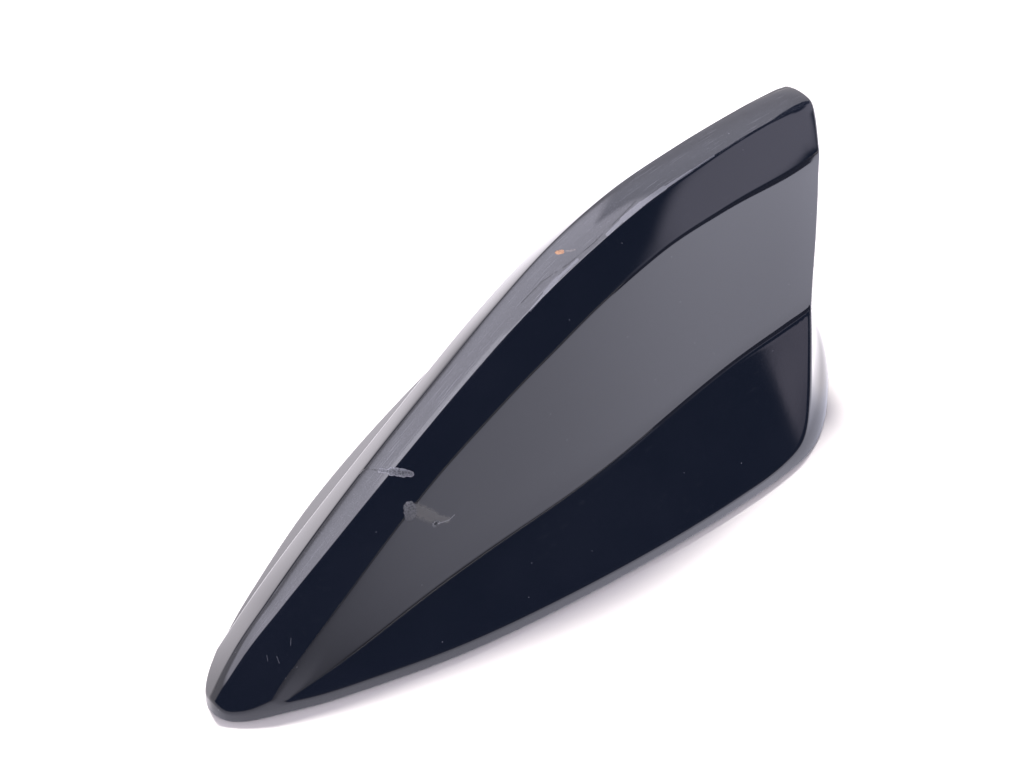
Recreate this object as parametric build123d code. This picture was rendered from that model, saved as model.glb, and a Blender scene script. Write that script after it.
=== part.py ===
from build123d import *
import math
import os

# Roof antenna cover: one moulded shell, open underneath.
# Frame: +X forward (nose), +Y left, +Z up, origin at the middle of the base plane. Millimetres.
# Stations s are distances along the length measured from just ahead of the nose.

# ---- driving dimensions -------------------------------------------------------
MID = 84.1            # station that lies at X = 0
WALL = 2.5            # wall thickness of the moulding
CROWN = 0.16          # rise of the spine strip over its edges, as a share of its half width
RIM_H = 3.0           # height of the rim band along the sides
FLARE = 52.0          # lean of the lower flare, degrees from vertical
RIM_DRAFT = 5.0       # draft of the rim band, degrees
R_SPINE = 0.5         # edge radius along the spine strip
R_CREASE = 0.9        # edge radius between upper band and side panel
R_VALLEY = 3.0        # hollow radius between side panel and flare
R_REAR = 0.4          # edge radius around the rear wall and along the rim
BOSS_R = 3.6          # screw boss radius
PILOT_R = 1.3         # pilot bore radius
PILOT_DEEP = 6.5      # pilot bore depth
BOSS_FOOT = 2.0       # height of the boss feet above the base plane
BOSS_AT = ((72.0, 18.0), (124.0, 23.5))  # station and half spacing of the front and rear boss pair
RIB_S = (68.0, 98.0, 128.0)  # stations of the cross ribs under the spine
RIB_T = 1.6           # rib thickness
RIB_FOOT = 28.0       # height of the rib lower edges above the base plane

# spine strip: half width and edge height
S1 = (0.4, 4.0, 8.0, 18.0, 32.0, 48.0, 64.0, 80.0, 96.0, 112.0, 130.0, 148.0, 158.0, 163.0, 167.0, 174.0)
W1 = (0.75, 1.00, 1.27, 1.75, 2.35, 2.66, 2.76, 3.10, 3.65, 3.85, 3.70, 3.60, 3.68, 3.74, 3.78, 3.80)
Z1 = (3.7, 7.9, 11.8, 18.7, 27.5, 36.9, 45.5, 53.4, 59.1, 61.9, 62.0, 60.5, 59.05, 58.05, 56.6, 53.0)
# lean of the upper band from vertical, degrees
SB = (0.4, 8.0, 18.0, 48.0, 64.0, 80.0, 96.0, 130.0, 174.0)
B1 = (46.0, 42.0, 44.5, 44.0, 43.5, 41.5, 40.0, 36.8, 36.0)
# height of the crease between upper band and side panel
S2 = (0.4, 4.0, 8.5, 12.0, 16.0, 28.0, 42.0, 58.0, 76.0, 96.0, 118.0, 140.0, 164.0, 174.0)
Z2 = (-3.5, 0.0, 4.2, 7.3, 10.4, 18.9, 27.6, 36.5, 44.8, 52.0, 54.2, 52.2, 49.2, 48.0)
# lean of the side panel from vertical, degrees
SP = (0.4, 12.0, 34.0, 60.0, 85.0, 112.0, 130.0, 150.0, 174.0)
B2 = (20.0, 19.6, 18.8, 16.6, 15.0, 14.0, 14.8, 16.4, 17.0)
# half width of the flare at the top of the rim band
S4 = (0.4, 2.5, 5.0, 9.0, 12.0, 16.0, 26.0, 40.0, 58.0, 78.0, 98.0, 116.0, 128.0, 142.0, 174.0)
W4 = (0.6, 2.8, 5.5, 8.5, 10.4, 12.35, 16.7, 22.2, 27.6, 32.2, 35.8, 38.0, 38.8, 39.05, 39.05)
# base outline, nose to tail (station, half width)
OUTLINE = (
    (0.4, 0.0), (0.62, 1.5), (1.35, 3.3), (2.6, 4.8), (4.5, 6.4), (6.4, 7.6), (9.0, 9.0),
    (16.0, 12.7), (26.0, 17.05), (40.0, 22.5), (58.0, 27.9), (78.0, 32.5), (98.0, 36.1),
    (116.0, 38.3), (126.0, 39.0), (131.0, 38.9), (135.5, 38.0), (140.6, 35.8), (146.7, 31.8),
    (152.0, 27.6), (157.0, 22.9), (161.2, 17.9), (164.6, 12.3), (166.9, 6.4), (167.8, 0.0),
)
# inward step of the rear wall over height: the wall stands upright and flares at its foot
WALL_Z = (0.0, 1.5, 3.0, 5.0, 8.0, 12.0, 16.0, 22.0, 32.0, 40.0, 46.0, 51.0, 55.0, 59.0, 63.0, 74.0)
WALL_IN = (0.0, 0.55, 1.3, 2.5, 3.8, 4.8, 5.3, 5.5, 5.2, 4.8, 4.4, 3.6, 2.5, 1.4, 0.8, 0.5)
REAR_FROM, REAR_TO = 116.0, 140.0   # stations between which the rear wall takes over from the rim


# ---- helpers -------------------------------------------------------------------
def curve(xs, ys, x):
    """Smooth interpolation through a table (cubic Hermite, finite-difference slopes)."""
    n = len(xs)
    x = min(max(x, xs[0]), xs[-1])
    i = 0
    while i < n - 2 and x > xs[i + 1]:
        i += 1

    def slope(k):
        if k == 0:
            return (ys[1] - ys[0]) / (xs[1] - xs[0])
        if k == n - 1:
            return (ys[-1] - ys[-2]) / (xs[-1] - xs[-2])
        h0, h1 = xs[k] - xs[k - 1], xs[k + 1] - xs[k]
        d0, d1 = (ys[k] - ys[k - 1]) / h0, (ys[k + 1] - ys[k]) / h1
        return (d0 * h1 + d1 * h0) / (h0 + h1)

    h = xs[i + 1] - xs[i]
    t = (x - xs[i]) / h
    return (
        (2 * t**3 - 3 * t**2 + 1) * ys[i]
        + (t**3 - 2 * t**2 + t) * h * slope(i)
        + (-2 * t**3 + 3 * t**2) * ys[i + 1]
        + (t**3 - t**2) * h * slope(i + 1)
    )


def tan(deg):
    return math.tan(math.radians(deg))


def cos(deg):
    return math.cos(math.radians(deg))


def pt(s, y, z):
    return Vector(MID - s, y, z)


STATIONS = (-1.5, 3.0, 8.0, 14.0, 22.0, 32.0, 44.0, 56.0, 68.0, 80.0, 92.0, 104.0, 118.0, 134.0, 150.0, 160.0, 166.0, 172.0)
LOW = -4.0


def closed(points):
    edges = [Edge.make_line(a, b) for a, b in zip(points, points[1:] + points[:1])]
    return Wire(edges)


def at(s):
    return max(s, 0.4)


def spine_section(s, t):
    """Spine strip and upper bands, moved inwards by t, run down below the base plane."""
    q = at(s)
    w, z, b = curve(S1, W1, q), curve(S1, Z1, q), curve(SB, B1, q)
    z += (s - q) * 1.1
    if t > 0:
        w = max(0.35, w - t * (1 - math.sin(math.radians(b))) / cos(b))
        z -= t
    yb = w + (z - LOW) * tan(b)
    top = Edge.make_three_point_arc(pt(s, -w, z), pt(s, 0, z + CROWN * w), pt(s, w, z))
    return Wire([
        top,
        Edge.make_line(pt(s, w, z), pt(s, yb, LOW)),
        Edge.make_line(pt(s, yb, LOW), pt(s, -yb, LOW)),
        Edge.make_line(pt(s, -yb, LOW), pt(s, -w, z)),
    ])


def panel_section(s, t):
    q = at(s)
    w, z, b = curve(S1, W1, q), curve(S1, Z1, q), curve(SB, B1, q)
    z2, b2 = curve(S2, Z2, q), curve(SP, B2, q)
    w2 = w + (z - z2) * tan(b) - t / cos(b2)
    zt = z + 3.0
    yt = w2 - (zt - z2) * tan(b2)
    yb = w2 + (z2 - LOW) * tan(b2)
    return closed([pt(s, -yt, zt), pt(s, yt, zt), pt(s, yb, LOW), pt(s, -yb, LOW)])


def flare_section(s, t):
    q = at(s)
    w4 = curve(S4, W4, q) - t / cos(FLARE)
    w4 = max(w4, 0.6)
    yb = w4 + (RIM_H - LOW) * tan(FLARE)
    yt = 0.4
    zt = RIM_H + (w4 - yt) / tan(FLARE)
    return closed([pt(s, -yt, zt), pt(s, yt, zt), pt(s, yb, LOW), pt(s, -yb, LOW)])


def outline(z, t):
    """Base outline at height z: small draft all round, stepped in at the rear, moved inwards by t."""
    pts = list(OUTLINE) + [(s, -y) for s, y in OUTLINE[-2:0:-1]]
    n = len(pts)
    out = []
    for i, (s, y) in enumerate(pts):
        (sa, ya), (sb, yb) = pts[i - 1], pts[(i + 1) % n]
        ds, dy = sb - sa, yb - ya
        m = math.hypot(ds, dy)
        g = min(max((s - REAR_FROM) / (REAR_TO - REAR_FROM), 0.0), 1.0)
        g = g * g * (3 - 2 * g)
        step = t + g * curve(WALL_Z, WALL_IN, max(z, 0.0)) + (1 - g) * min(max(z, 0.0), 6.0) * tan(RIM_DRAFT)
        # inward normal of an outline that runs nose, left side, tail, right side
        out.append(pt(s + dy / m * step, y - ds / m * step, z))
    return Wire([Edge.make_spline(out, periodic=True)])


def body(t):
    spine = Solid.make_loft([spine_section(s, t) for s in STATIONS])
    panel = Solid.make_loft([panel_section(s, t) for s in STATIONS])
    flare = Solid.make_loft([flare_section(s, t) for s in STATIONS])
    low = 0 if t == 0 else -4
    wall = Solid.make_loft([outline(float(z), t) for z in range(low, 73, 4)])
    return spine, panel, flare, wall


def joined(t):
    spine, panel, flare, wall = body(t)
    return ((spine & panel) + flare) & wall


def edge_kind(e):
    """Name of the crease an edge of the plain outer body belongs to, read at its middle."""
    p = e.position_at(0.5)
    s, y, z = MID - p.X, abs(p.Y), p.Z
    q = at(s)
    w, h, b, z2 = curve(S1, W1, q), curve(S1, Z1, q), curve(SB, B1, q), curve(S2, Z2, q)
    if z < 1e-3:
        return "base"
    if abs(y - w) < 0.3 and abs(z - h) < 0.3:
        return "spine"
    if abs(y - w - (h - z2) * tan(b)) < 0.4 and abs(z - z2) < 0.4:
        return "crease"
    if 20 < s < 150 and 5 < z < 20 and y < 21:
        return "valley"
    return "rim"


def rounded(shape, name, radius):
    return shape.fillet(radius, [e for e in shape.edges() if edge_kind(e) == name])


# ---- outer form ----------------------------------------------------------------
plain = joined(0.0)
outer = rounded(plain, "valley", R_VALLEY)
outer = rounded(outer, "crease", R_CREASE)
outer = rounded(outer, "spine", R_SPINE)
outer = rounded(outer, "rim", R_REAR)

# ---- hollow, bosses and ribs -----------------------------------------------------
cover = outer - joined(WALL)
for s in RIB_S:
    rib = Pos(MID - s, 0, RIB_FOOT + 25) * Box(RIB_T, 60, 50)
    cover = cover + (rib & plain)
for s, y in BOSS_AT:
    for side in (1, -1):
        boss = Pos(MID - s, side * y, BOSS_FOOT + 10) * Cylinder(BOSS_R, 20)
        cover = cover + (boss & plain)
for s, y in BOSS_AT:
    for side in (1, -1):
        cover = cover - Pos(MID - s, side * y, BOSS_FOOT + PILOT_DEEP / 2) * Cylinder(PILOT_R, PILOT_DEEP)

os.makedirs("parts", exist_ok=True)
solids = cover.solids()
print("solids", len(solids), [round(v.volume) for v in solids], cover.is_valid, cover.bounding_box())
export_step(solids[0], "parts/cover.step")
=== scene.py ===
import math

import bmesh
import bpy
import numpy as np
from mathutils import Matrix, Vector


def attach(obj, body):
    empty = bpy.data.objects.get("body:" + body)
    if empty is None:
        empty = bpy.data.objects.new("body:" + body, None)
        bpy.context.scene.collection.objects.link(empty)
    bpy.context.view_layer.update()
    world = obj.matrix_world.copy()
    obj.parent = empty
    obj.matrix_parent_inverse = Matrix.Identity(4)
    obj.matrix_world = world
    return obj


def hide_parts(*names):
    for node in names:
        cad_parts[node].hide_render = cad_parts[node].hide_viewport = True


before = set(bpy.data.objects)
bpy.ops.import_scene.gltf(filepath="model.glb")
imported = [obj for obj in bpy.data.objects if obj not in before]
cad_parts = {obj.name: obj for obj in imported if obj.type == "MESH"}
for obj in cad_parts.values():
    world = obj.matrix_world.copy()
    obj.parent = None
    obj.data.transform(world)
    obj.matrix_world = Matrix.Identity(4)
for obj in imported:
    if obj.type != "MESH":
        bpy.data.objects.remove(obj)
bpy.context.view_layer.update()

# ---- form of the cover: same tables as the solid, millimetres, stations from the nose ----
MID, WALL, CROWN, RIM_H, FLARE, RIM_DRAFT = 84.1, 2.5, 0.16, 3.0, 52.0, 5.0
S1 = (0.4, 4.0, 8.0, 18.0, 32.0, 48.0, 64.0, 80.0, 96.0, 112.0, 130.0, 148.0, 158.0, 163.0, 167.0, 174.0)
W1 = (0.75, 1.00, 1.27, 1.75, 2.35, 2.66, 2.76, 3.10, 3.65, 3.85, 3.70, 3.60, 3.68, 3.74, 3.78, 3.80)
Z1 = (3.7, 7.9, 11.8, 18.7, 27.5, 36.9, 45.5, 53.4, 59.1, 61.9, 62.0, 60.5, 59.05, 58.05, 56.6, 53.0)
SB = (0.4, 8.0, 18.0, 48.0, 64.0, 80.0, 96.0, 130.0, 174.0)
B1 = (46.0, 42.0, 44.5, 44.0, 43.5, 41.5, 40.0, 36.8, 36.0)
S2 = (0.4, 4.0, 8.5, 12.0, 16.0, 28.0, 42.0, 58.0, 76.0, 96.0, 118.0, 140.0, 164.0, 174.0)
Z2 = (-3.5, 0.0, 4.2, 7.3, 10.4, 18.9, 27.6, 36.5, 44.8, 52.0, 54.2, 52.2, 49.2, 48.0)
SP = (0.4, 12.0, 34.0, 60.0, 85.0, 112.0, 130.0, 150.0, 174.0)
B2 = (20.0, 19.6, 18.8, 16.6, 15.0, 14.0, 14.8, 16.4, 17.0)
S4 = (0.4, 2.5, 5.0, 9.0, 12.0, 16.0, 26.0, 40.0, 58.0, 78.0, 98.0, 116.0, 128.0, 142.0, 174.0)
W4 = (0.6, 2.8, 5.5, 8.5, 10.4, 12.35, 16.7, 22.2, 27.6, 32.2, 35.8, 38.0, 38.8, 39.05, 39.05)
OUTLINE = (
    (0.4, 0.0), (0.62, 1.5), (1.35, 3.3), (2.6, 4.8), (4.5, 6.4), (6.4, 7.6), (9.0, 9.0),
    (16.0, 12.7), (26.0, 17.05), (40.0, 22.5), (58.0, 27.9), (78.0, 32.5), (98.0, 36.1),
    (116.0, 38.3), (126.0, 39.0), (131.0, 38.9), (135.5, 38.0), (140.6, 35.8), (146.7, 31.8),
    (152.0, 27.6), (157.0, 22.9), (161.2, 17.9), (164.6, 12.3), (166.9, 6.4), (167.8, 0.0),
)
WALL_Z = (0.0, 1.5, 3.0, 5.0, 8.0, 12.0, 16.0, 22.0, 32.0, 40.0, 46.0, 51.0, 55.0, 59.0, 63.0, 74.0)
WALL_IN = (0.0, 0.55, 1.3, 2.5, 3.8, 4.8, 5.3, 5.5, 5.2, 4.8, 4.4, 3.6, 2.5, 1.4, 0.8, 0.5)
REAR_FROM, REAR_TO = 116.0, 140.0
K_SPINE, K_CREASE, K_VALLEY = 0.22, 0.8, 2.3
BULGE = 0.16          # crown of the upper bands at their middle
EDGE, EDGE_REAR = 0.5, 1.25   # setback of the rounded rim edge and rear edges
FOOT = 0.3            # round of the lower rim edge


def table(xs, ys):
    """Smooth curve through a table of values, as a function of arrays."""
    xs, ys = np.array(xs), np.array(ys)
    h = np.diff(xs)
    d = np.diff(ys) / h
    m = np.empty(len(xs))
    m[0], m[-1] = d[0], d[-1]
    m[1:-1] = (d[:-1] * h[1:] + d[1:] * h[:-1]) / (h[:-1] + h[1:])

    def f(x):
        x = np.clip(x, xs[0], xs[-1])
        i = np.clip(np.searchsorted(xs, x, side="left") - 1, 0, len(xs) - 2)
        t = (x - xs[i]) / h[i]
        return ((2*t**3 - 3*t**2 + 1) * ys[i] + (t**3 - 2*t**2 + t) * h[i] * m[i]
                + (-2*t**3 + 3*t**2) * ys[i+1] + (t**3 - t**2) * h[i] * m[i+1])
    return f


f_w1, f_z1, f_b1 = table(S1, W1), table(S1, Z1), table(SB, B1)
f_z2, f_b2, f_w4 = table(S2, Z2), table(SP, B2), table(S4, W4)
f_in = table(WALL_Z, WALL_IN)
TF = np.tan(np.radians(FLARE))




def smin(a, b, k):
    h = np.maximum(k - np.abs(a - b), 0.0) / k
    return np.minimum(a, b) - h * h * k * 0.25


def smooth(x):
    x = np.clip(x, 0.0, 1.0)
    return x * x * (3 - 2 * x)


def panel_fit():
    """Even curves for the side panel: its foot line at height 0 and its lean, so that reflections run smooth."""
    s = np.linspace(6.0, 168.0, 400)
    lean = np.tan(np.radians(f_b2(s)))
    foot = f_w1(s) + (f_z1(s) - f_z2(s)) * np.tan(np.radians(f_b1(s))) + f_z2(s) * lean
    fit = np.polynomial.chebyshev.chebfit
    x = (s - 87.0) / 81.0
    heed = 1.0 + 3.0 * smooth((s - 135.0) / 15.0)
    return fit(x, foot, 8, w=heed), fit(x, lean, 6, w=heed)


FOOT_FIT, LEAN_FIT = panel_fit()


def faces_at(s, y, t):
    """Heights of the spine-and-band, panel and flare surfaces over the plan point (s, y), moved in by t; and the spine half width."""
    q = np.maximum(s, 0.4)
    y = np.abs(y)
    w1, z1, b1 = f_w1(q), f_z1(q), np.radians(f_b1(q))
    z2, b2 = f_z2(q), np.radians(f_b2(q))
    w2 = w1 + (z1 - z2) * np.tan(b1)
    z1 = z1 + (s - q) * 1.1
    if t > 0:
        w1 = np.maximum(0.35, w1 - t * (1 - np.sin(b1)) / np.cos(b1))
        z1 = z1 - t
    r = y / w1
    crown = np.where(r < 1, z1 + CROWN * w1 * (1 - r * r), z1 - 2 * CROWN * w1 * (r - 1))
    x = np.clip((y - w1) / np.maximum(w2 - w1, 1.0), 0.0, 1.4)
    bulge = BULGE * np.minimum(1.0, (w2 - w1) / 8.0) * x * (1 - x) * 4 * smooth((s - 4) / 12)
    k1 = K_SPINE + 0.9 * smooth((s - 150) / 14)
    up = smin(crown, z1 - (y - w1) / np.tan(b1) + bulge, k1)
    x = np.clip((q - 87.0) / 81.0, -1.0, 1.0)
    g = smooth((q - 4) / 12)
    lean = np.tan(b2)
    foot = w2 + z2 * lean
    val = np.polynomial.chebyshev.chebval
    foot, lean = foot + g * (val(x, FOOT_FIT) - foot), lean + g * (val(x, LEAN_FIT) - lean)
    pan = (foot - y - t / np.cos(b2)) / lean
    w4 = np.maximum(f_w4(q) - t / np.cos(np.radians(FLARE)), 0.6)
    fl = RIM_H - (y - w4) / TF
    return up, pan, fl, w1


def top(s, y, t):
    up, pan, fl, _ = faces_at(s, y, t)
    wide = K_VALLEY * (1 + 1.2 * smooth((s - 10) / 14) * smooth((112 - s) / 40))
    k = 0.05 + (wide - 0.05) * smooth((s - 8) / 20)
    return -smin(-fl, -smin(up, pan, K_CREASE), k)


def outline_spline():
    p = np.array(list(OUTLINE) + [(s, -y) for s, y in OUTLINE[-2:0:-1]])
    n = len(p)
    h = np.hypot(*(np.roll(p, -1, 0) - p).T)
    a = np.zeros((n, n))
    rhs = np.zeros((n, 2))
    for i in range(n):
        h0, h1 = h[i - 1], h[i]
        a[i, i - 1] += h0
        a[i, i] += 2 * (h0 + h1)
        a[i, (i + 1) % n] += h1
        rhs[i] = 6 * ((p[(i + 1) % n] - p[i]) / h1 - (p[i] - p[i - 1]) / h0)
    m = np.linalg.solve(a, rhs)
    at = np.concatenate([[0], np.cumsum(h)])

    def f(u):
        i = np.clip(np.searchsorted(at, u, side="right") - 1, 0, n - 1)
        j = (i + 1) % n
        hh = h[i][:, None]
        A = (at[i + 1] - u)[:, None]
        B = (u - at[i])[:, None]
        return (m[i] * A**3 + m[j] * B**3) / (6 * hh) + (p[i] / hh - m[i] * hh / 6) * A + (p[j] / hh - m[j] * hh / 6) * B
    return f, at[len(OUTLINE) - 1]


def wall_step(sb, z):
    g = smooth((sb - REAR_FROM) / (REAR_TO - REAR_FROM))
    zz = np.maximum(z, 0)
    return g * f_in(zz) + (1 - g) * np.minimum(zz, 6.0) * np.tan(np.radians(RIM_DRAFT))


def stretch(length, first, last, mid):
    """Row positions over lengths: close rows at both ends, even rows between."""
    first, last = np.array(first), np.array(last)
    fa = np.minimum(1.0, 0.42 * length / max(first[-1], 1e-9))[:, None]
    fb = np.minimum(1.0, 0.42 * length / max(last[-1], 1e-9))[:, None]
    a = first[None] * fa
    b = length[:, None] - (last[None] * fb)[:, ::-1]
    lo, hi = a[:, -1:], b[:, :1]
    m = lo + (hi - lo) * (np.arange(1, mid + 1) / (mid + 1))[None]
    return np.concatenate([a, m, b], 1)


def build(step=0.52):
    f, half = outline_spline()
    # sample the half outline: finer round the nose and the rear corner
    u = np.linspace(0, half, 6001)
    b = f(u)
    pace = 1.0 / (step * (0.45 + 0.55 * smooth((b[:, 0] - 1.5) / 14)) * (1 - 0.3 * np.exp(-((b[:, 0] - 133) / 7) ** 2)))
    acc = np.concatenate([[0], np.cumsum((pace[1:] + pace[:-1]) / 2 * np.diff(u))])
    n = int(acc[-1]) + 1
    u = np.interp(np.linspace(0, acc[-1], n), acc, u)
    b = f(u)
    e = 1e-3
    d = (f(np.minimum(u + e, half + e)) - f(np.maximum(u - e, 0)))
    d /= np.hypot(d[:, 0], d[:, 1])[:, None]
    d[0], d[-1] = (0, 1), (0, -1)
    nrm = np.stack([d[:, 1], -d[:, 0]], 1)          # inward
    b[0, 1] = b[-1, 1] = 0.0
    sb = b[:, 0]

    def wall(z, t):
        st = wall_step(sb, z) + t
        return b + nrm * st[:, None]

    def meet(t):
        lo, hi = np.zeros(n), np.full(n, 72.0)
        for _ in range(50):
            mid = (lo + hi) / 2
            w = wall(mid, t)
            above = top(w[:, 0], w[:, 1], t) > mid
            lo, hi = np.where(above, mid, lo), np.where(above, hi, mid)
        return (lo + hi) / 2

    anchor = sb + 5.0 * np.exp(-sb / 6.0) - 11.0 * smooth((sb - 138) / 30)
    anchor = np.maximum.accumulate(anchor)
    anc = np.stack([anchor, np.zeros(n)], 1)

    def ribs(t, edge):
        zg = meet(t)
        g = wall(zg, t)
        vec = anc - g
        length = np.hypot(vec[:, 0], vec[:, 1])
        vec /= length[:, None]

        def at(dist):
            p = g[:, None, :] + vec[:, None, :] * dist[:, :, None]
            p[0, :, 1] = p[-1, :, 1] = 0.0
            return p
        # setback on the top surface
        e0 = np.full((n, 1), 0.02)
        p = at(e0)[:, 0]
        slope = (top(p[:, 0], p[:, 1], t) - zg) / 0.02
        back = edge / np.sqrt(1 + slope**2)
        # crossings of the three creases along each rib
        fr = np.linspace(0, 1, 1201)
        dist = back[:, None] + (length - back)[:, None] * fr[None]
        p = at(dist)
        up, pan, fl, w1 = faces_at(p[..., 0], p[..., 1], t)
        k3 = fl - np.minimum(up, pan)
        k2 = up - pan
        k1 = np.abs(p[..., 1]) - w1

        def cross(k):
            pos = k > 0
            last = np.where(pos.any(1), pos.shape[1] - 1 - np.argmax(pos[:, ::-1], 1), -1)
            i = np.clip(last, 0, len(fr) - 2)
            r = np.arange(n)
            a, c = k[r, i], k[r, i + 1]
            with np.errstate(all="ignore"):
                x = fr[i] + (fr[i + 1] - fr[i]) * np.where(a - c != 0, a / (a - c), 0)
            return np.where(last < 0, 0.0, np.clip(x, 0, 1))
        t3, t2, t1 = cross(k3), cross(k2), cross(k1)
        t2 = np.maximum(t2, t3)
        t1 = np.maximum(t1, t2)
        t1[0] = t1[-1] = t2[0] = t2[-1] = t3[0] = t3[-1] = 0.0
        run = length - back
        cuts = [back + run * c for c in (np.zeros(n), t3, t2, t1, np.ones(n))]
        return zg, at, cuts

    cols = []
    # inner skin, from the centre line out and down
    zg, at, c = ribs(WALL, 0.0)
    few = ((0.0, 0.7), (0.0, 0.7))
    dist = np.concatenate([c[k][:, None] + stretch(c[k + 1] - c[k], *few, m) for k, m in enumerate((2, 3, 2, 1))], 1)
    p = at(dist)
    zz = top(p[..., 0], p[..., 1], WALL)
    zz[:, 0] = zg
    inner = np.concatenate([p, zz[..., None]], 2)[:, ::-1]
    cols.append(inner)
    rows = []
    for k in (0.66, 0.33, 0.0):
        z = zg * k
        rows.append(np.concatenate([wall(z, WALL), z[:, None]], 1))
    cols.append(np.stack(rows, 1))
    # outer skin: foot round, wall, rounded edge, top
    edge = EDGE + (EDGE_REAR - EDGE) * smooth((sb - 134) / 12)
    zg, at, c = ribs(0.0, edge)
    rows = []
    for a in (90, 60, 30):
        r = np.radians(a)
        z = np.full(n, FOOT * (1 - np.sin(r)))
        q = wall(np.full(n, FOOT), 0.0) + nrm * (FOOT * (1 - np.cos(r)))
        rows.append(np.concatenate([q, z[:, None]], 1))
    zw = zg - edge
    for k in np.linspace(0, 1, 22):
        z = FOOT + (zw - FOOT) * k**1.35
        rows.append(np.concatenate([wall(z, 0.0), z[:, None]], 1))
    W = rows[-1]
    G = np.concatenate([wall(zg, 0.0), zg[:, None]], 1)
    first = (0.0, 0.12, 0.3, 0.6, 1.0, 1.6, 2.4)
    dist = np.concatenate([
        c[0][:, None] + stretch(c[1] - c[0], (0.0, 0.4), (0.0, 0.35, 0.7, 1.1, 1.6, 2.4), 7),
        c[1][:, None] + stretch(c[2] - c[1], (0.0, 0.12, 0.26, 0.42, 0.62, 0.9), (0.0, 0.05, 0.1, 0.16, 0.25), 9),
        c[2][:, None] + stretch(c[3] - c[2], (0.0, 0.1, 0.2, 0.32, 0.5), (0.0, 0.08, 0.17, 0.3), 6),
        c[3][:, None] + stretch(c[4] - c[3], (0.0, 0.08, 0.17, 0.3), (0.0, 0.3), 3),
    ], 1)
    p = at(dist)
    zz = top(p[..., 0], p[..., 1], 0.0)
    T3 = np.concatenate([p, zz[..., None]], 2)
    T = T3[:, 0]
    for k in (0.2, 0.4, 0.6, 0.8):
        rows.append((1 - k) ** 2 * W + 2 * k * (1 - k) * G + k * k * T)
    cols.append(np.stack(rows, 1))
    cols.append(T3)
    grid = np.concatenate(cols, 1)                  # n x m x (s, y, z)
    grid[0, :, 1] = grid[-1, :, 1] = 0.0
    grid[:, 0, 1] = grid[:, -1, 1] = 0.0
    return grid


def shell(grid):
    """Closed mesh of both halves: vertices in mm in the part's frame, and faces."""
    n, m, _ = grid.shape
    left = np.stack([MID - grid[..., 0], grid[..., 1], grid[..., 2]], 2).reshape(-1, 3)
    right = left * (1, -1, 1)
    i, j = np.meshgrid(np.arange(n - 1), np.arange(m - 1), indexing="ij")
    a = (i * m + j).ravel()
    q = np.stack([a, a + 1, a + m + 1, a + m], 1)
    quads = np.concatenate([q, q[:, ::-1] + n * m])
    v = np.concatenate([left, right])
    key = np.round(v * 2e4).astype(np.int64)
    _, idx, inv = np.unique(key, axis=0, return_index=True, return_inverse=True)
    inv = inv.ravel()
    v = v[idx]
    quads = inv[quads]
    faces = []
    for f in quads.tolist():
        g = [f[k] for k in range(4) if f[k] != f[k - 1]]
        if len(g) >= 3 and len(set(g)) == len(g):
            faces.append(g)
    return v, faces


# ---- inside details: cross ribs and screw bosses ------------------------------------------
BOSS_R, PILOT_R, PILOT_DEEP, BOSS_FOOT = 3.6, 1.3, 6.5, 2.0
BOSS_AT = ((72.0, 18.0), (124.0, 23.5))
RIB_S, RIB_T, RIB_FOOT = (68.0, 98.0, 128.0), 1.6, 28.0


def add_loops(bm, loops, first_cap=True, last_cap=True):
    """Skin between rings of points, with flat caps at the ends."""
    rings = [[bm.verts.new((MID - p[0], p[1], p[2])) for p in ring] for ring in loops]
    for a, b in zip(rings, rings[1:]):
        k = len(a)
        for i in range(k):
            bm.faces.new((a[i], a[(i + 1) % k], b[(i + 1) % k], b[i]))
    if first_cap:
        bm.faces.new(rings[0])
    if last_cap:
        bm.faces.new(rings[-1])


def one(x):
    return np.array([float(x)])


def boss_mesh(bm, s, y):
    ang = np.linspace(0, 2 * np.pi, 48, endpoint=False)

    def ring(r, z=None):
        ps, py = s + r * np.cos(ang), y + r * np.sin(ang)
        pz = top(ps, py, 0.0) - 1.2 if z is None else np.full(len(ang), z)
        return np.stack([ps, py, pz], 1)
    top_bore = BOSS_FOOT + PILOT_DEEP
    add_loops(bm, [ring(PILOT_R, top_bore), ring(PILOT_R, BOSS_FOOT + 0.25), ring(PILOT_R + 0.25, BOSS_FOOT),
                   ring(BOSS_R - 0.25, BOSS_FOOT), ring(BOSS_R, BOSS_FOOT + 0.25), ring(BOSS_R), ring(1.8), ring(0.5)])


def rib_mesh(bm, s0):
    t = WALL / 2
    rings = []
    for s in (s0 - RIB_T / 2, s0 + RIB_T / 2):
        q = one(s)
        w, z, b = f_w1(q)[0], f_z1(q)[0], math.radians(f_b1(q)[0])
        z2, b2 = f_z2(q)[0], math.radians(f_b2(q)[0])
        w2 = w + (z - z2) * math.tan(b) - t / math.cos(b2)
        wt, zt = max(0.35, w - t * (1 - math.sin(b)) / math.cos(b)), z - t
        # where the moved band and panel meet
        zc = (w2 + z2 * math.tan(b2) - wt - zt * math.tan(b)) / (math.tan(b2) - math.tan(b))
        yc = wt + (zt - zc) * math.tan(b)
        yb = w2 + (z2 - RIB_FOOT) * math.tan(b2)
        half = [(yb, RIB_FOOT), (yc, zc), (wt, zt)]
        rings.append([(s, yy, zz) for yy, zz in half] + [(s, -yy, zz) for yy, zz in half[::-1]])
    add_loops(bm, rings)


def mesh_of(bm, name):
    me = bpy.data.meshes.new(name)
    bmesh.ops.recalc_face_normals(bm, faces=bm.faces)
    bmesh.ops.scale(bm, vec=(0.001, 0.001, 0.001), verts=bm.verts)
    bm.to_mesh(me)
    bm.free()
    return me


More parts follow.
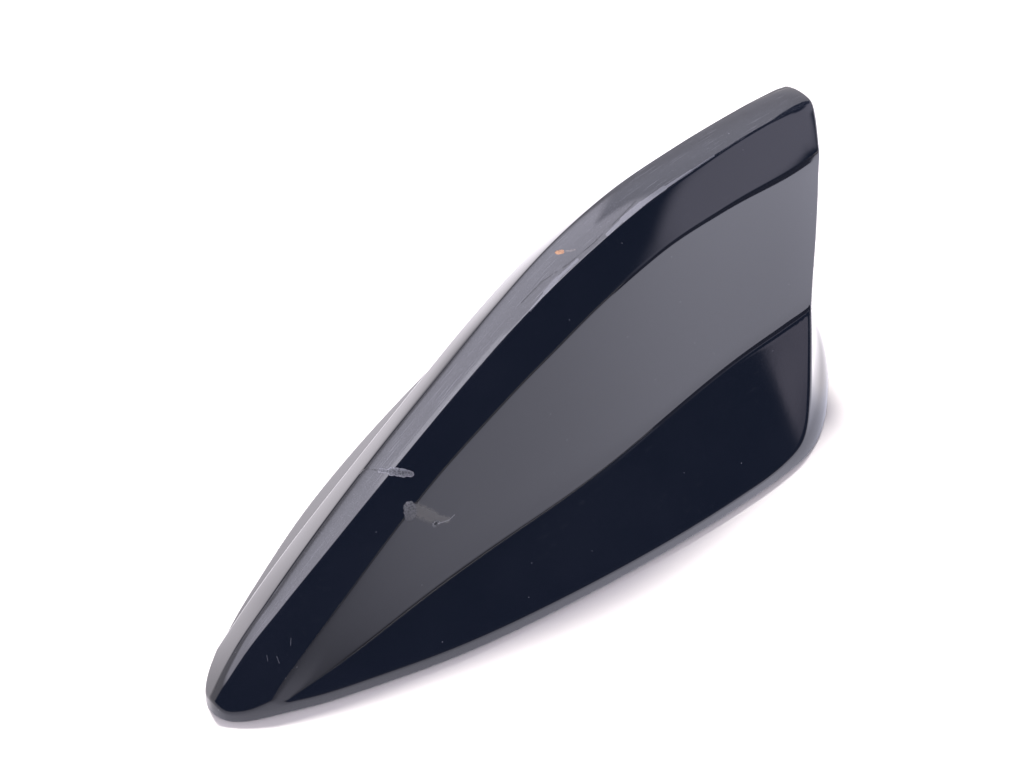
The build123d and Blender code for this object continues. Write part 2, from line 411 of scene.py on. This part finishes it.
verts, polys = shell(build())
bm = bmesh.new()
vs = [bm.verts.new(p) for p in verts.tolist()]
for f in polys:
    bm.faces.new([vs[i] for i in f[::-1]])
shell_me = mesh_of(bm, "cover_shell")
bm = bmesh.new()
for s in RIB_S:
    rib_mesh(bm, s)
for s, y in BOSS_AT:
    boss_mesh(bm, s, y)
    boss_mesh(bm, s, -y)
inside_me = mesh_of(bm, "inside")
shell_ob = bpy.data.objects.new("shell_raw", shell_me)
inside_ob = bpy.data.objects.new("inside_raw", inside_me)
for o in (shell_ob, inside_ob):
    bpy.context.scene.collection.objects.link(o)
mod = shell_ob.modifiers.new("join", "BOOLEAN")
mod.operation = "UNION"
mod.solver = "MANIFOLD"
mod.object = inside_ob
dg = bpy.context.evaluated_depsgraph_get()
whole = bpy.data.meshes.new_from_object(shell_ob.evaluated_get(dg))
whole.name = "cover_shell"
bpy.data.objects.remove(shell_ob)
bpy.data.objects.remove(inside_ob)
whole.materials.clear()
whole.polygons.foreach_set("use_smooth", np.ones(len(whole.polygons), bool))
whole.set_sharp_from_angle(angle=math.radians(38))
whole.update()
cover = bpy.data.objects.new("cover_shell", whole)
bpy.context.scene.collection.objects.link(cover)
print("cover_shell", len(whole.vertices), len(whole.polygons), sum(len(p.vertices) - 2 for p in whole.polygons))
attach(cover, "root")
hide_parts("cover")


# ---- node helpers --------------------------------------------------------------------------
class Nodes:
    def __init__(self, tree):
        self.t = tree
        self.n = tree.nodes

    def put(self, socket, value):
        if isinstance(value, bpy.types.NodeSocket):
            self.t.links.new(value, socket)
        elif value is not None:
            socket.default_value = value

    def math(self, op, a, b=None, c=None, clamp=False):
        m = self.n.new("ShaderNodeMath")
        m.operation, m.use_clamp = op, clamp
        for i, x in enumerate((a, b, c)):
            self.put(m.inputs[i], x)
        return m.outputs[0]

    def vec(self, op, a, b=None, scale=None):
        m = self.n.new("ShaderNodeVectorMath")
        m.operation = op
        self.put(m.inputs[0], a)
        self.put(m.inputs[1], b)
        if scale is not None:
            self.put(m.inputs["Scale"], scale)
        return m.outputs["Value"] if op in ("DOT_PRODUCT", "LENGTH", "DISTANCE") else m.outputs["Vector"]

    def ramp(self, x, a, b, c=0.0, d=1.0):
        """Smooth step of x from a to b, giving c to d."""
        m = self.n.new("ShaderNodeMapRange")
        m.interpolation_type = "SMOOTHSTEP"
        for name, v in zip(("Value", "From Min", "From Max", "To Min", "To Max"), (x, a, b, c, d)):
            self.put(m.inputs[name], v)
        return m.outputs[0]

    def mix(self, f, a, b):
        m = self.n.new("ShaderNodeMix")
        m.data_type = "RGBA"
        self.put(m.inputs[0], f)
        self.put(m.inputs[6], a)
        self.put(m.inputs[7], b)
        return m.outputs[2]

    def noise(self, vec, scale, detail=2.0, rough=0.5, distort=0.0):
        m = self.n.new("ShaderNodeTexNoise")
        self.put(m.inputs["Vector"], vec)
        m.inputs["Scale"].default_value = scale
        m.inputs["Detail"].default_value = detail
        m.inputs["Roughness"].default_value = rough
        m.inputs["Distortion"].default_value = distort
        return m.outputs["Fac"]


# ---- paint: black gloss, worn along the spine, scuffed on the seen side ---------------------------
# Marks: line pieces from point to point with a half width, millimetres in the part's frame.
MARKS = {
    "crack": (
        ((40.50, -2.88, 34.11), (39.51, -2.62, 34.90), 0.11),
        ((39.51, -2.62, 34.90), (38.39, 0.39, 36.01), 0.13),
    ),
    "leaf": (
        ((38.23, 0.55, 36.09), (37.03, 2.39, 36.44), 0.42),
        ((37.03, 2.39, 36.44), (35.18, 4.17, 35.95), 0.78),
        ((35.18, 4.17, 35.95), (34.33, 5.00, 35.59), 0.58),
    ),
    "rough": (
        ((37.54, 7.93, 30.63), (37.93, 8.46, 29.42), 1.3),
    ),
    "smear": (
        ((36.74, 8.48, 30.03), (33.84, 10.12, 26.50), 1.5),
        ((33.84, 10.12, 26.50), (31.17, 11.29, 24.11), 0.8),
    ),
    "line": (
        ((33.43, 10.81, 24.52), (30.91, 11.39, 23.93), 0.12),
        ((30.91, 11.39, 23.93), (29.50, 11.47, 24.37), 0.09),
    ),
    "pit": (
        ((33.80, 10.71, 24.67), (33.48, 10.74, 24.70), 0.30),
    ),
    "chip": (
        ((-10.44, -1.01, 59.22), (-11.05, -0.35, 59.43), 0.48),
    ),
    "trail": (
        ((-11.22, -0.17, 59.49), (-12.88, 1.31, 59.86), 0.22),
    ),
    "score": (
        ((1.05, 0.92, 55.13), (-4.44, 1.14, 57.24), 0.07),
        ((-4.44, 1.14, 57.24), (-9.99, 2.46, 58.87), 0.07),
        ((-9.99, 2.46, 58.87), (-16.33, 2.91, 60.39), 0.07),
        ((-16.33, 2.91, 60.39), (-23.72, 2.55, 61.76), 0.07),
        ((-23.72, 2.55, 61.76), (-29.12, 1.99, 62.45), 0.07),
    ),
    # a lighter streak along the near edge of the spine top
    "pale_streak": (
        ((0.96, 3.28, 54.68), (-3.29, 3.01, 56.43), 0.22),
        ((-3.29, 3.01, 56.43), (-6.72, 2.92, 57.68), 0.42),
        ((-6.72, 2.92, 57.68), (-11.81, 3.12, 59.20), 0.3),
        ((-19.61, 3.46, 60.87), (-24.20, 3.22, 61.64), 0.35),
        ((-24.20, 3.22, 61.64), (-29.56, 3.16, 62.22), 0.62),
        ((-29.56, 3.16, 62.22), (-35.77, 3.32, 62.40), 0.5),
        ((-35.77, 3.32, 62.40), (-43.38, 3.49, 62.17), 0.28),
        ((-43.38, 3.49, 62.17), (-50.11, 3.48, 61.84), 0.15),
    ),
    "nick": (
        ((66.85, 5.50, 14.47), (67.54, 6.07, 13.38), 0.07),
        ((71.86, 4.05, 12.34), (72.22, 4.63, 11.44), 0.06),
        ((70.52, 5.36, 11.95), (70.77, 6.20, 10.84), 0.07),
        ((50.20, 13.74, 8.04), (50.13, 14.13, 7.59), 0.1),
    ),
}
paint = bpy.data.materials.new("gloss_black_paint")
paint.use_nodes = True
N = Nodes(paint.node_tree)
bsdf = paint.node_tree.nodes["Principled BSDF"]
mm = N.vec("SCALE", N.n.new("ShaderNodeTexCoord").outputs["Object"], scale=1000.0)
part = N.n.new("ShaderNodeSeparateXYZ")
N.put(part.inputs[0], mm)


def stroke(name):
    """Distance to the nearest piece of a mark, in half widths."""
    best = None
    for a, b, r in MARKS[name]:
        d = Vector(b) - Vector(a)
        rel = N.vec("SUBTRACT", mm, a)
        along = N.math("MULTIPLY", N.vec("DOT_PRODUCT", rel, tuple(d / d.length_squared)), 1.0, clamp=True)
        q = N.math("DIVIDE", N.vec("DISTANCE", rel, N.vec("SCALE", tuple(d), scale=along)), r)
        best = q if best is None else N.math("MINIMUM", best, q)
    return best


def noise_colour(vec, scale):
    m = N.n.new("ShaderNodeTexNoise")
    N.put(m.inputs["Vector"], vec)
    m.inputs["Scale"].default_value = scale
    return m.outputs["Color"]


def ragged(name, amount):
    return N.math("MULTIPLY_ADD", wob, amount, stroke(name))


def times(*f):
    out = f[0]
    for x in f[1:]:
        out = N.math("MULTIPLY", out, x)
    return out


web = N.n.new("ShaderNodeTexVoronoi")
web.feature = "DISTANCE_TO_EDGE"
N.put(web.inputs["Vector"], N.vec("ADD", mm, N.vec("SCALE", N.vec("SUBTRACT", noise_colour(mm, 2.4), (0.5, 0.5, 0.5)), scale=0.5)))
web.inputs["Scale"].default_value = 1.9
thread = N.ramp(web.outputs["Distance"], 0.13, 0.03)
wob = N.math("SUBTRACT", N.noise(mm, 1.7, 3.0, 0.6), 0.5)
fine = N.noise(mm, 5.5, 4.0, 0.65)
cloud = N.noise(mm, 0.045, 4.0, 0.55)
# lengthwise rubbing along the spine
width = N.math("ABSOLUTE", part.outputs["Y"])
half = N.n.new("ShaderNodeMapRange")
for name, v in zip(("Value", "From Min", "From Max", "To Min", "To Max"), (part.outputs["X"], 74.0, -16.0, 1.3, 3.7)):
    N.put(half.inputs[name], v)
on_spine = times(N.ramp(N.math("SUBTRACT", width, half.outputs[0]), 0.25, -0.1), N.ramp(part.outputs["Z"], 8.0, 20.0))
run = N.vec("MULTIPLY", mm, (0.10, 5.2, 0.10))
rub = N.noise(run, 1.0, 3.0, 0.62)
rub_line = times(N.ramp(rub, 0.56, 0.72), on_spine)
grain = N.noise(mm, 4.2, 2.0, 0.7)
# sparse hairlines, two ways round, in patches
patch = N.ramp(N.noise(mm, 0.07, 2.0), 0.47, 0.62)
hair_a = N.ramp(N.noise(N.vec("MULTIPLY", mm, (0.22, 1.1, 3.4)), 1.0, 1.0), 0.70, 0.76)
hair_b = N.ramp(N.noise(N.vec("MULTIPLY", mm, (2.9, 0.5, 0.35)), 1.0, 1.0), 0.715, 0.77)
hair = times(N.math("MAXIMUM", hair_a, hair_b), patch)
# dust specks
cell = N.n.new("ShaderNodeTexVoronoi")
N.put(cell.inputs["Vector"], mm)
cell.inputs["Scale"].default_value = 0.42
pick = N.n.new("ShaderNodeSeparateColor")
N.put(pick.inputs[0], cell.outputs["Color"])
speck = times(N.ramp(cell.outputs["Distance"], 0.055, 0.03), N.ramp(pick.outputs[0], 0.72, 0.76))
# dust and handling wear at the foot of the rim, and painted reflection: the rim foot is painted lighter to stand in for
# the bright floor it mirrors
foot = times(N.ramp(part.outputs["Z"], 3.6, 0.8), N.ramp(fine, 0.2, 0.75, 0.55, 1.0))

leaf_q = ragged("leaf", 0.85)
leaf = N.ramp(leaf_q, 1.08, 0.94)
leaf_rim = times(N.ramp(leaf_q, 0.62, 0.9), leaf)
crack = N.ramp(ragged("crack", 0.8), 1.2, 0.6)
rough_m = N.ramp(ragged("rough", 0.55), 1.06, 0.92)
smear = N.ramp(ragged("smear", 0.9), 1.15, 0.55)
line = N.ramp(ragged("line", 0.9), 1.3, 0.5)
pit_q = ragged("pit", 0.7)
pit = N.ramp(pit_q, 1.1, 0.8)
flake = times(N.ramp(pit_q, 2.6, 1.9), N.ramp(fine, 0.52, 0.6))
chip_q = ragged("chip", 1.0)
chip = N.ramp(chip_q, 1.1, 0.85)
trail = times(N.ramp(ragged("trail", 1.2), 1.4, 0.6), N.ramp(fine, 0.42, 0.6))
nick = N.ramp(stroke("nick"), 1.4, 0.5)
# a lighter streak along the near edge of the spine top
pale_streak = times(N.ramp(ragged("pale_streak", 0.5), 1.1, 0.85), on_spine)
score = times(N.ramp(ragged("score", 0.6), 1.5, 0.5), N.ramp(N.noise(mm, 0.35, 2.0), 0.22, 0.34))


def over(base, mask, color, amount=1.0):
    return N.mix(mask if amount == 1.0 else N.math("MULTIPLY", mask, amount), base, color)


def grey(mask, lo, hi):
    return N.mix(mask, lo + (1,), hi + (1,))


col = grey(N.ramp(cloud, 0.3, 0.7), (0.0022, 0.0026, 0.0050), (0.0034, 0.0038, 0.0066))
# painted reflection with dust: the foot of the rim is painted lighter
col = over(col, foot, (0.034, 0.033, 0.036, 1))
col = over(col, times(N.ramp(grain, 0.45, 0.75), on_spine), (0.034, 0.034, 0.040, 1), 0.8)
col = over(col, rub_line, (0.045, 0.045, 0.050, 1))
col = over(col, hair, (0.026, 0.027, 0.031, 1), 0.28)
col = over(col, speck, (0.10, 0.10, 0.11, 1))
col = over(col, smear, grey(N.ramp(fine, 0.3, 0.65), (0.032, 0.030, 0.026), (0.074, 0.070, 0.062)), 0.72)
col = over(col, rough_m, grey(N.math("MAXIMUM", thread, N.ramp(fine, 0.5, 0.75)), (0.024, 0.024, 0.026), (0.088, 0.088, 0.092)))
# the spine top is painted lighter along this streak at its near edge
col = over(col, pale_streak, grey(N.ramp(fine, 0.3, 0.7), (0.056, 0.056, 0.062), (0.086, 0.086, 0.095)))
col = over(col, N.math("MAXIMUM", crack, score), (0.004, 0.004, 0.005, 1))
col = over(col, leaf, grey(N.math("MAXIMUM", thread, N.ramp(fine, 0.52, 0.75)), (0.016, 0.017, 0.021), (0.100, 0.100, 0.110)))
col = over(col, times(leaf_rim, N.ramp(fine, 0.4, 0.55)), (0.17, 0.17, 0.185, 1))
col = over(col, line, (0.15, 0.15, 0.155, 1), 0.9)
col = over(col, flake, (0.26, 0.26, 0.27, 1))
col = over(col, pit, (0.004, 0.004, 0.005, 1))
col = over(col, trail, (0.14, 0.115, 0.095, 1), 0.7)
col = over(col, chip, grey(N.ramp(fine, 0.4, 0.62), (0.150, 0.058, 0.020), (0.42, 0.215, 0.095)))
col = over(col, nick, (0.10, 0.10, 0.11, 1), 0.55)
N.put(bsdf.inputs["Base Color"], col)

raw = N.math("MAXIMUM", N.math("MAXIMUM", leaf, rough_m), N.math("MAXIMUM", chip, pit))
soft = N.math("MULTIPLY_ADD", N.ramp(cloud, 0.3, 0.7), 0.025, 0.05)
soft = N.math("MULTIPLY_ADD", on_spine, 0.025, soft)
soft = N.math("MULTIPLY_ADD", rub_line, 0.10, soft)
soft = N.math("MULTIPLY_ADD", foot, 0.12, soft)
soft = N.math("MULTIPLY_ADD", smear, 0.25, soft)
soft = N.math("MAXIMUM", soft, N.math("MULTIPLY", raw, 0.55))
N.put(bsdf.inputs["Roughness"], soft)
bsdf.inputs["IOR"].default_value = PAINT_IOR = 1.65

peel = N.noise(mm, 0.8, 2.0, 0.5)
high = N.math("MULTIPLY", peel, 0.5)
high = N.math("MULTIPLY_ADD", times(N.math("ADD", rub, grain), on_spine), 0.45, high)
high = N.math("MULTIPLY_ADD", N.math("MULTIPLY", fine, raw), 12.0, high)
high = N.math("MULTIPLY_ADD", N.math("MULTIPLY", thread, raw), 10.0, high)
high = N.math("MULTIPLY_ADD", N.math("MAXIMUM", pit, leaf), -9.0, high)
high = N.math("MULTIPLY_ADD", N.math("MAXIMUM", crack, N.math("MULTIPLY", score, 0.5)), -45.0, high)
bump = N.n.new("ShaderNodeBump")
bump.inputs["Strength"].default_value = 1.0
bump.inputs["Distance"].default_value = 0.0000022
N.put(bump.inputs["Height"], high)
N.put(bsdf.inputs["Normal"], bump.outputs["Normal"])
cover.data.materials.append(paint)


# ---- floor and cards ---------------------------------------------------------------------------------
LIGHT = 0.66          # level of the whole studio


def stage_piece(name, verts, faces):
    me = bpy.data.meshes.new(name)
    me.from_pydata(verts, [], faces)
    ob = bpy.data.objects.new(name, me)
    bpy.context.scene.collection.objects.link(ob)
    mat = bpy.data.materials.new(name)
    mat.use_nodes = True
    me.materials.append(mat)
    return ob, Nodes(mat.node_tree)


floor, F = stage_piece("floor", [(-12, -12, 0), (12, -12, 0), (12, 12, 0), (-12, 12, 0)], [(0, 1, 2, 3)])
floor.location = (0, 0, -0.00005)
fb = F.n["Principled BSDF"]
fb.inputs["Roughness"].default_value = 0.9
fb.inputs["Specular IOR Level"].default_value = 0.0
grit = F.noise(F.n.new("ShaderNodeTexCoord").outputs["Object"], 60.0, 3.0)
F.put(fb.inputs["Base Color"], F.mix(grit, (0.292, 0.275, 0.262, 1), (0.284, 0.267, 0.255, 1)))


def mirror_only(ob):
    ob.visible_camera = ob.visible_diffuse = ob.visible_shadow = ob.visible_transmission = False


def card(name, path, height, low, high, split):
    """Upright strip along a floor path that only mirror reflections see; its glow goes from low to high over split heights."""
    k = len(path)
    ob, C = stage_piece(name, [(x, y, 0.0) for x, y in path] + [(x, y, height) for x, y in path],
                        [(i, i + 1, k + i + 1, k + i) for i in range(k - 1)])
    mirror_only(ob)
    C.n.remove(C.n["Principled BSDF"])
    glow = C.n.new("ShaderNodeEmission")
    sp = C.n.new("ShaderNodeSeparateXYZ")
    C.put(sp.inputs[0], C.n.new("ShaderNodeTexCoord").outputs["Object"])
    C.put(glow.inputs["Color"], C.mix(C.ramp(sp.outputs["Z"], *split), low, high))
    glow.inputs["Strength"].default_value = LIGHT
    C.t.links.new(glow.outputs[0], C.n["Material Output"].inputs[0])


card("card_near", [(-0.060 + 0.170 * math.cos(math.radians(q)), 0.025 + 0.170 * math.sin(math.radians(q))) for q in range(102, 150, 6)],
     0.060, (0.22, 0.24, 0.36, 1), (0.22, 0.24, 0.36, 1), (0.0, 0.01))
card("card_far", [(-0.30, -0.24), (0.0, -0.24), (0.25, -0.24)], 0.085, (0.9, 0.9, 1.05, 1), (0.35, 0.35, 0.45, 1), (0.0, 0.03))

# lit sheet on the floor that the gloss mirrors: brighter toward the tail and close by on the far side
sheet, C = stage_piece("card_floor", [(-0.9, -0.9, 0.0001), (0.9, -0.9, 0.0001), (0.9, 0.9, 0.0001), (-0.9, 0.9, 0.0001)], [(0, 1, 2, 3)])
mirror_only(sheet)
C.n.remove(C.n["Principled BSDF"])
glow = C.n.new("ShaderNodeEmission")
sp = C.n.new("ShaderNodeSeparateXYZ")
C.put(sp.inputs[0], C.n.new("ShaderNodeTexCoord").outputs["Object"])
px, py = sp.outputs["X"], sp.outputs["Y"]
near = C.math("MULTIPLY_ADD", C.math("MINIMUM", C.math("MAXIMUM", px, -0.16), 0.09), -7.5, 2.02)
drop = C.math("MULTIPLY", C.ramp(px, 0.015, 0.078, 0.0, 0.68), C.ramp(py, 0.016, 0.040))
near = C.math("SUBTRACT", near, drop)
near = C.math("MULTIPLY", near, C.ramp(py, 0.15, 0.34, 1.0, 0.12))
rear = C.math("MULTIPLY", C.ramp(px, -0.060, -0.072), C.ramp(py, 0.042, 0.030))
near = C.math("MULTIPLY_ADD", rear, 1.1, near)
far = C.math("MULTIPLY", C.ramp(py, -0.085, -0.17, 3.3, 0.8), C.ramp(px, 0.05, 0.09, 1.0, 0.55))
beyond = C.ramp(py, 0.004, -0.004)
level = C.math("ADD", near, C.math("MULTIPLY", beyond, C.math("SUBTRACT", far, near)))
C.put(glow.inputs["Strength"], C.math("MULTIPLY", level, LIGHT))
C.put(glow.inputs["Color"], C.mix(C.math("MAXIMUM", beyond, rear), (1.0, 1.0, 1.19, 1), (1.02, 0.97, 1.04, 1)))
C.t.links.new(glow.outputs[0], C.n["Material Output"].inputs[0])


# ---- soft studio light ---------------------------------------------------------------------------
world = bpy.data.worlds.new("studio")
bpy.context.scene.world = world
world.use_nodes = True
S = Nodes(world.node_tree)
bg = world.node_tree.nodes["Background"]
wco = S.n.new("ShaderNodeTexCoord").outputs["Generated"]
sep = S.n.new("ShaderNodeSeparateXYZ")
S.put(sep.inputs[0], S.vec("NORMALIZE", wco))
R = math.radians
el = S.math("ARCSINE", sep.outputs["Z"])
az = S.math("ARCTAN2", sep.outputs["Y"], sep.outputs["X"])


def both(*f):
    out = f[0]
    for x in f[1:]:
        out = S.math("MULTIPLY", out, x)
    return out


DARK, BACK = (0.115, 0.17, 0.32, 1), (1.65, 1.6, 1.75, 1)
LOW, MIDDLE = (1.75, 1.72, 1.95, 1), (2.9, 2.9, 3.4, 1)
BOX_LOW, BOX, STRIP = (4.5, 4.4, 5.1, 1), (5.6, 5.5, 6.4, 1), (7.9, 7.8, 8.9, 1)
WALLC, WINDOW = (1.62, 1.60, 2.05, 1), (1.42, 1.36, 1.75, 1)
sky = S.mix(S.ramp(az, R(5), R(-12)), DARK, BACK)
sky = S.mix(both(S.ramp(az, R(104), R(130)), S.ramp(el, R(4), R(7)), S.ramp(el, R(19), R(15))), sky, WALLC)
lean_az = S.math("SUBTRACT", az, S.math("MULTIPLY", S.math("SUBTRACT", el, R(33.9)), 2.6))
sky = S.mix(both(S.ramp(lean_az, R(129.6), R(130.8)), S.ramp(el, R(31.5), R(32.8)), S.ramp(el, R(44), R(40)),
                 S.ramp(az, R(137), R(134))), sky, WINDOW)
tail_side = S.ramp(az, R(-115), R(-121))
sky = S.mix(both(tail_side, S.ramp(el, R(6), R(16))), sky, S.mix(S.ramp(el, R(18), R(48)), LOW, MIDDLE))
low_el = S.math("ADD", el, S.ramp(az, R(-50), R(-20), 0.0, R(15)))
sky = S.mix(both(S.ramp(az, R(-121), R(-115)), S.ramp(az, R(24), R(4)), S.ramp(low_el, R(26), R(34))), sky,
            S.mix(S.ramp(el, R(30), R(48)), BOX_LOW, BOX))
high_el = S.math("SUBTRACT", el, S.math("MULTIPLY", tail_side, R(7)))
sky = S.mix(S.ramp(high_el, R(50), R(57)), sky, BOX)
sky = S.mix(both(S.ramp(az, R(-22), R(-12)), S.ramp(az, R(132), R(124)), S.ramp(el, R(54), R(57)), S.ramp(el, R(72), R(69))), sky, STRIP)
overhead = bpy.data.lights.new("overhead", "SUN")
overhead.energy, overhead.angle = 13.1, R(9.2)
lamp = bpy.data.objects.new("overhead", overhead)
toward = Vector((math.cos(R(57.2)) * math.cos(R(-118)), math.cos(R(57.2)) * math.sin(R(-118)), math.sin(R(57.2))))
lamp.rotation_euler = toward.to_track_quat("Z", "Y").to_euler()
lamp.visible_glossy = False
bpy.context.scene.collection.objects.link(lamp)
lit = bpy.data.collections.new("lit_by_overhead")
lit.objects.link(floor)
lamp.light_linking.receiver_collection = lit
S.put(bg.inputs["Color"], sky)
bg.inputs["Strength"].default_value = LIGHT
# the backdrop itself is plain white
plain = S.n.new("ShaderNodeBackground")
plain.inputs["Color"].default_value = (1.0, 1.0, 1.0, 1)
seen = S.n.new("ShaderNodeMixShader")
S.t.links.new(S.n.new("ShaderNodeLightPath").outputs["Is Camera Ray"], seen.inputs[0])
S.t.links.new(bg.outputs[0], seen.inputs[1])
S.t.links.new(plain.outputs[0], seen.inputs[2])
S.t.links.new(seen.outputs[0], S.n["World Output"].inputs["Surface"])


# ---- camera ------------------------------------------------------------------------------------------
cam_at, aim, roll = Vector((0.17598, 0.18178, 0.32269)), Vector((-0.00435, -0.00759, 0.020)), math.radians(-0.568)
fwd = (aim - cam_at).normalized()
right = fwd.cross(Vector((0, 0, 1))).normalized()
up = right.cross(fwd)
right, up = right * math.cos(roll) + up * math.sin(roll), up * math.cos(roll) - right * math.sin(roll)
cam_data = bpy.data.cameras.new("camera")
cam_data.sensor_width = 36.0
cam_data.sensor_fit = "HORIZONTAL"
cam_data.lens = 1923.13 / 1024 * 36.0
cam_data.clip_start, cam_data.clip_end = 0.01, 60.0
cam = bpy.data.objects.new("camera", cam_data)
cam.matrix_world = Matrix(((right.x, up.x, -fwd.x, cam_at.x), (right.y, up.y, -fwd.y, cam_at.y),
                           (right.z, up.z, -fwd.z, cam_at.z), (0, 0, 0, 1)))
bpy.context.scene.collection.objects.link(cam)
bpy.context.scene.camera = cam
bpy.context.scene.view_settings.view_transform = "Standard"
bpy.context.scene.view_settings.look = "None"
